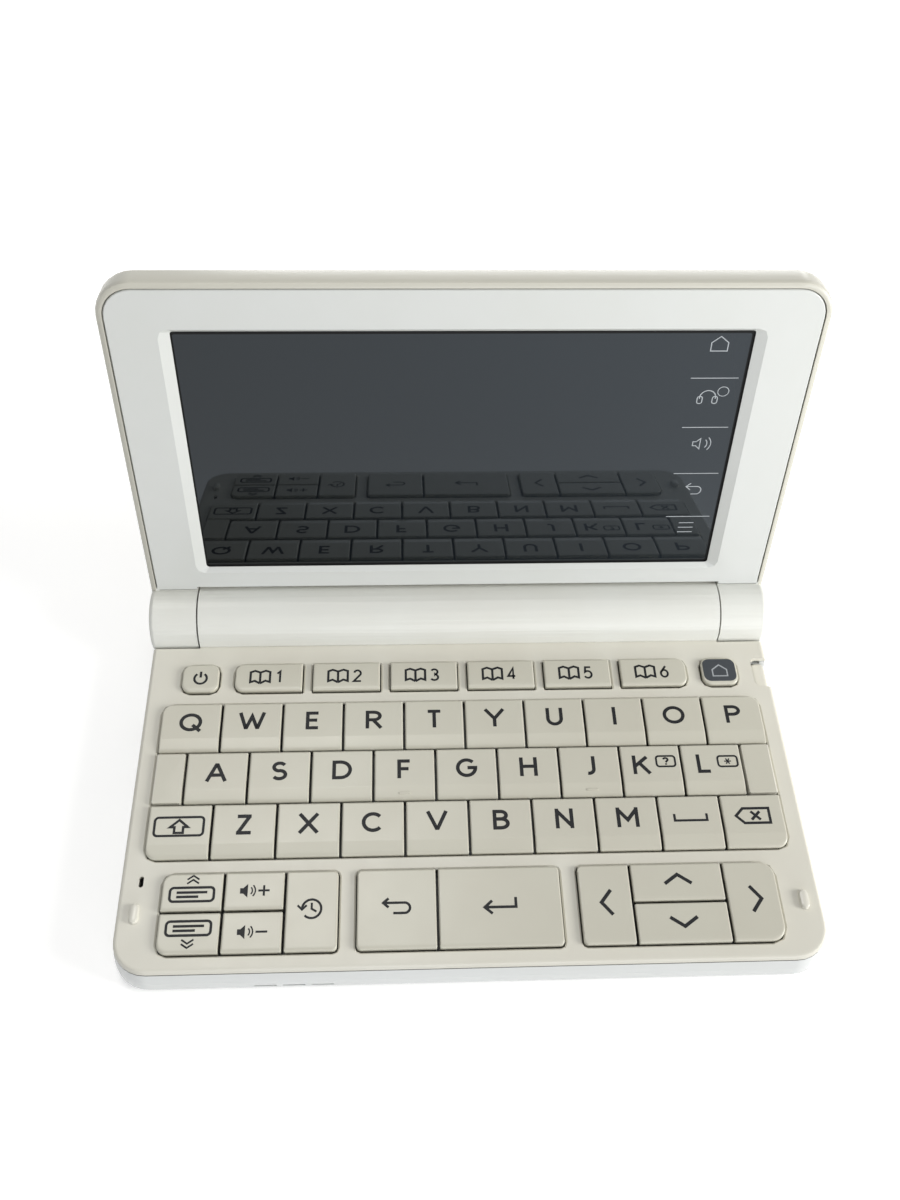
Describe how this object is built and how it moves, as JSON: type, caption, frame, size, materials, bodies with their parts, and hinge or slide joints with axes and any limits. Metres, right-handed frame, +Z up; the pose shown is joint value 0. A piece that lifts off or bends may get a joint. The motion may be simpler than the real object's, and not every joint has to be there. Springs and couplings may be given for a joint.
{
  "type": "electronic dictionary",
  "caption": "Clamshell pocket dictionary: white keyboard base, battery barrel in the hinge line, lid with a wide dark touch display, opened just past upright.",
  "frame": {"origin": "centre of the footprint in plan, on the surface that the device stands on", "axes": "+X to the reader's right along the hinge, +Y away from the reader, +Z up; the keys face up and the display faces the reader"},
  "size_m": [0.1498, 0.115, 0.0944],
  "materials": {
    "deck": "fine satin, warm off-white",
    "case": "glossy white",
    "bezel": "glossy cool white",
    "key_caps": "satin warm off-white, dark printed legends",
    "display": "dark glossy cover glass over a switched-off display",
    "cell_label": "plain sleeve",
    "steel": "turned",
    "rubber": "moulded",
    "board": "solder resist",
    "speaker_metal": "plain"
  },
  "bodies": {
    "base": {"upper_case": "deck", "lower_case": "case", "battery_pair": "cell_label", "hinge_shaft": "steel", "key_rubber_sheet": "rubber", "main_board": "board", "speaker": "speaker_metal"},
    "lid": {"lid_rear_cover": "case", "lid_front_bezel": "bezel", "display_panel": "display"},
    "battery_cover": {"battery_cover": "case"},
    "stylus": {"stylus": "case"},
    "key_power": {"key_power": "key_caps"},
    "key_content_1": {"key_content_1": "key_caps"},
    "key_content_2": {"key_content_2": "key_caps"},
    "key_content_3": {"key_content_3": "key_caps"},
    "key_content_4": {"key_content_4": "key_caps"},
    "key_content_5": {"key_content_5": "key_caps"},
    "key_content_6": {"key_content_6": "key_caps"},
    "key_home": {"key_home": "key_caps"},
    "key_q": {"key_q": "key_caps"},
    "key_w": {"key_w": "key_caps"},
    "key_e": {"key_e": "key_caps"},
    "key_r": {"key_r": "key_caps"},
    "key_t": {"key_t": "key_caps"},
    "key_y": {"key_y": "key_caps"},
    "key_u": {"key_u": "key_caps"},
    "key_i": {"key_i": "key_caps"},
    "key_o": {"key_o": "key_caps"},
    "key_p": {"key_p": "key_caps"},
    "key_a": {"key_a": "key_caps"},
    "key_s": {"key_s": "key_caps"},
    "key_d": {"key_d": "key_caps"},
    "key_f": {"key_f": "key_caps"},
    "key_g": {"key_g": "key_caps"},
    "key_h": {"key_h": "key_caps"},
    "key_j": {"key_j": "key_caps"},
    "key_k": {"key_k": "key_caps"},
    "key_l": {"key_l": "key_caps"},
    "key_z": {"key_z": "key_caps"},
    "key_x": {"key_x": "key_caps"},
    "key_c": {"key_c": "key_caps"},
    "key_v": {"key_v": "key_caps"},
    "key_b": {"key_b": "key_caps"},
    "key_n": {"key_n": "key_caps"},
    "key_m": {"key_m": "key_caps"},
    "key_shift": {"key_shift": "key_caps"},
    "key_space": {"key_space": "key_caps"},
    "key_delete": {"key_delete": "key_caps"},
    "key_previous_heading": {"key_previous_heading": "key_caps"},
    "key_next_heading": {"key_next_heading": "key_caps"},
    "key_volume_up": {"key_volume_up": "key_caps"},
    "key_volume_down": {"key_volume_down": "key_caps"},
    "key_history": {"key_history": "key_caps"},
    "key_back": {"key_back": "key_caps"},
    "key_enter": {"key_enter": "key_caps"},
    "key_left": {"key_left": "key_caps"},
    "key_up": {"key_up": "key_caps"},
    "key_down": {"key_down": "key_caps"},
    "key_right": {"key_right": "key_caps"}
  },
  "joints": [
    {"name": "lid_hinge", "type": "hinge", "parent": "base", "child": "lid", "pos_m": [0, 0.03078, 0.0087], "axis": [1, 0, 0], "range_deg": [-47.3, 102.7]},
    {"name": "battery_cover_slide", "type": "slide", "parent": "base", "child": "battery_cover", "axis": [0, 0.9397, -0.342], "range_m": [0, 0.02]},
    {"name": "stylus_slide", "type": "slide", "parent": "base", "child": "stylus", "axis": [1, 0, 0], "range_m": [0, 0.03]},
    {"name": "key_power_press", "type": "slide", "parent": "base", "child": "key_power", "axis": [0, 0, -1], "range_m": [0, 0.0006], "stiffness_N_per_m": 250},
    {"name": "key_content_1_press", "type": "slide", "parent": "base", "child": "key_content_1", "axis": [0, 0, -1], "range_m": [0, 0.0006], "stiffness_N_per_m": 250},
    {"name": "key_content_2_press", "type": "slide", "parent": "base", "child": "key_content_2", "axis": [0, 0, -1], "range_m": [0, 0.0006], "stiffness_N_per_m": 250},
    {"name": "key_content_3_press", "type": "slide", "parent": "base", "child": "key_content_3", "axis": [0, 0, -1], "range_m": [0, 0.0006], "stiffness_N_per_m": 250},
    {"name": "key_content_4_press", "type": "slide", "parent": "base", "child": "key_content_4", "axis": [0, 0, -1], "range_m": [0, 0.0006], "stiffness_N_per_m": 250},
    {"name": "key_content_5_press", "type": "slide", "parent": "base", "child": "key_content_5", "axis": [0, 0, -1], "range_m": [0, 0.0006], "stiffness_N_per_m": 250},
    {"name": "key_content_6_press", "type": "slide", "parent": "base", "child": "key_content_6", "axis": [0, 0, -1], "range_m": [0, 0.0006], "stiffness_N_per_m": 250},
    {"name": "key_home_press", "type": "slide", "parent": "base", "child": "key_home", "axis": [0, 0, -1], "range_m": [0, 0.0006], "stiffness_N_per_m": 250},
    {"name": "key_q_press", "type": "slide", "parent": "base", "child": "key_q", "axis": [0, 0, -1], "range_m": [0, 0.0006], "stiffness_N_per_m": 250},
    {"name": "key_w_press", "type": "slide", "parent": "base", "child": "key_w", "axis": [0, 0, -1], "range_m": [0, 0.0006], "stiffness_N_per_m": 250},
    {"name": "key_e_press", "type": "slide", "parent": "base", "child": "key_e", "axis": [0, 0, -1], "range_m": [0, 0.0006], "stiffness_N_per_m": 250},
    {"name": "key_r_press", "type": "slide", "parent": "base", "child": "key_r", "axis": [0, 0, -1], "range_m": [0, 0.0006], "stiffness_N_per_m": 250},
    {"name": "key_t_press", "type": "slide", "parent": "base", "child": "key_t", "axis": [0, 0, -1], "range_m": [0, 0.0006], "stiffness_N_per_m": 250},
    {"name": "key_y_press", "type": "slide", "parent": "base", "child": "key_y", "axis": [0, 0, -1], "range_m": [0, 0.0006], "stiffness_N_per_m": 250},
    {"name": "key_u_press", "type": "slide", "parent": "base", "child": "key_u", "axis": [0, 0, -1], "range_m": [0, 0.0006], "stiffness_N_per_m": 250},
    {"name": "key_i_press", "type": "slide", "parent": "base", "child": "key_i", "axis": [0, 0, -1], "range_m": [0, 0.0006], "stiffness_N_per_m": 250},
    {"name": "key_o_press", "type": "slide", "parent": "base", "child": "key_o", "axis": [0, 0, -1], "range_m": [0, 0.0006], "stiffness_N_per_m": 250},
    {"name": "key_p_press", "type": "slide", "parent": "base", "child": "key_p", "axis": [0, 0, -1], "range_m": [0, 0.0006], "stiffness_N_per_m": 250},
    {"name": "key_a_press", "type": "slide", "parent": "base", "child": "key_a", "axis": [0, 0, -1], "range_m": [0, 0.0006], "stiffness_N_per_m": 250},
    {"name": "key_s_press", "type": "slide", "parent": "base", "child": "key_s", "axis": [0, 0, -1], "range_m": [0, 0.0006], "stiffness_N_per_m": 250},
    {"name": "key_d_press", "type": "slide", "parent": "base", "child": "key_d", "axis": [0, 0, -1], "range_m": [0, 0.0006], "stiffness_N_per_m": 250},
    {"name": "key_f_press", "type": "slide", "parent": "base", "child": "key_f", "axis": [0, 0, -1], "range_m": [0, 0.0006], "stiffness_N_per_m": 250},
    {"name": "key_g_press", "type": "slide", "parent": "base", "child": "key_g", "axis": [0, 0, -1], "range_m": [0, 0.0006], "stiffness_N_per_m": 250},
    {"name": "key_h_press", "type": "slide", "parent": "base", "child": "key_h", "axis": [0, 0, -1], "range_m": [0, 0.0006], "stiffness_N_per_m": 250},
    {"name": "key_j_press", "type": "slide", "parent": "base", "child": "key_j", "axis": [0, 0, -1], "range_m": [0, 0.0006], "stiffness_N_per_m": 250},
    {"name": "key_k_press", "type": "slide", "parent": "base", "child": "key_k", "axis": [0, 0, -1], "range_m": [0, 0.0006], "stiffness_N_per_m": 250},
    {"name": "key_l_press", "type": "slide", "parent": "base", "child": "key_l", "axis": [0, 0, -1], "range_m": [0, 0.0006], "stiffness_N_per_m": 250},
    {"name": "key_z_press", "type": "slide", "parent": "base", "child": "key_z", "axis": [0, 0, -1], "range_m": [0, 0.0006], "stiffness_N_per_m": 250},
    {"name": "key_x_press", "type": "slide", "parent": "base", "child": "key_x", "axis": [0, 0, -1], "range_m": [0, 0.0006], "stiffness_N_per_m": 250},
    {"name": "key_c_press", "type": "slide", "parent": "base", "child": "key_c", "axis": [0, 0, -1], "range_m": [0, 0.0006], "stiffness_N_per_m": 250},
    {"name": "key_v_press", "type": "slide", "parent": "base", "child": "key_v", "axis": [0, 0, -1], "range_m": [0, 0.0006], "stiffness_N_per_m": 250},
    {"name": "key_b_press", "type": "slide", "parent": "base", "child": "key_b", "axis": [0, 0, -1], "range_m": [0, 0.0006], "stiffness_N_per_m": 250},
    {"name": "key_n_press", "type": "slide", "parent": "base", "child": "key_n", "axis": [0, 0, -1], "range_m": [0, 0.0006], "stiffness_N_per_m": 250},
    {"name": "key_m_press", "type": "slide", "parent": "base", "child": "key_m", "axis": [0, 0, -1], "range_m": [0, 0.0006], "stiffness_N_per_m": 250},
    {"name": "key_shift_press", "type": "slide", "parent": "base", "child": "key_shift", "axis": [0, 0, -1], "range_m": [0, 0.0006], "stiffness_N_per_m": 250},
    {"name": "key_space_press", "type": "slide", "parent": "base", "child": "key_space", "axis": [0, 0, -1], "range_m": [0, 0.0006], "stiffness_N_per_m": 250},
    {"name": "key_delete_press", "type": "slide", "parent": "base", "child": "key_delete", "axis": [0, 0, -1], "range_m": [0, 0.0006], "stiffness_N_per_m": 250},
    {"name": "key_previous_heading_press", "type": "slide", "parent": "base", "child": "key_previous_heading", "axis": [0, 0, -1], "range_m": [0, 0.0006], "stiffness_N_per_m": 250},
    {"name": "key_next_heading_press", "type": "slide", "parent": "base", "child": "key_next_heading", "axis": [0, 0, -1], "range_m": [0, 0.0006], "stiffness_N_per_m": 250},
    {"name": "key_volume_up_press", "type": "slide", "parent": "base", "child": "key_volume_up", "axis": [0, 0, -1], "range_m": [0, 0.0006], "stiffness_N_per_m": 250},
    {"name": "key_volume_down_press", "type": "slide", "parent": "base", "child": "key_volume_down", "axis": [0, 0, -1], "range_m": [0, 0.0006], "stiffness_N_per_m": 250},
    {"name": "key_history_press", "type": "slide", "parent": "base", "child": "key_history", "axis": [0, 0, -1], "range_m": [0, 0.0006], "stiffness_N_per_m": 250},
    {"name": "key_back_press", "type": "slide", "parent": "base", "child": "key_back", "axis": [0, 0, -1], "range_m": [0, 0.0006], "stiffness_N_per_m": 250},
    {"name": "key_enter_press", "type": "slide", "parent": "base", "child": "key_enter", "axis": [0, 0, -1], "range_m": [0, 0.0006], "stiffness_N_per_m": 250},
    {"name": "key_left_press", "type": "slide", "parent": "base", "child": "key_left", "axis": [0, 0, -1], "range_m": [0, 0.0006], "stiffness_N_per_m": 250},
    {"name": "key_up_press", "type": "slide", "parent": "base", "child": "key_up", "axis": [0, 0, -1], "range_m": [0, 0.0006], "stiffness_N_per_m": 250},
    {"name": "key_down_press", "type": "slide", "parent": "base", "child": "key_down", "axis": [0, 0, -1], "range_m": [0, 0.0006], "stiffness_N_per_m": 250},
    {"name": "key_right_press", "type": "slide", "parent": "base", "child": "key_right", "axis": [0, 0, -1], "range_m": [0, 0.0006], "stiffness_N_per_m": 250}
  ]
}
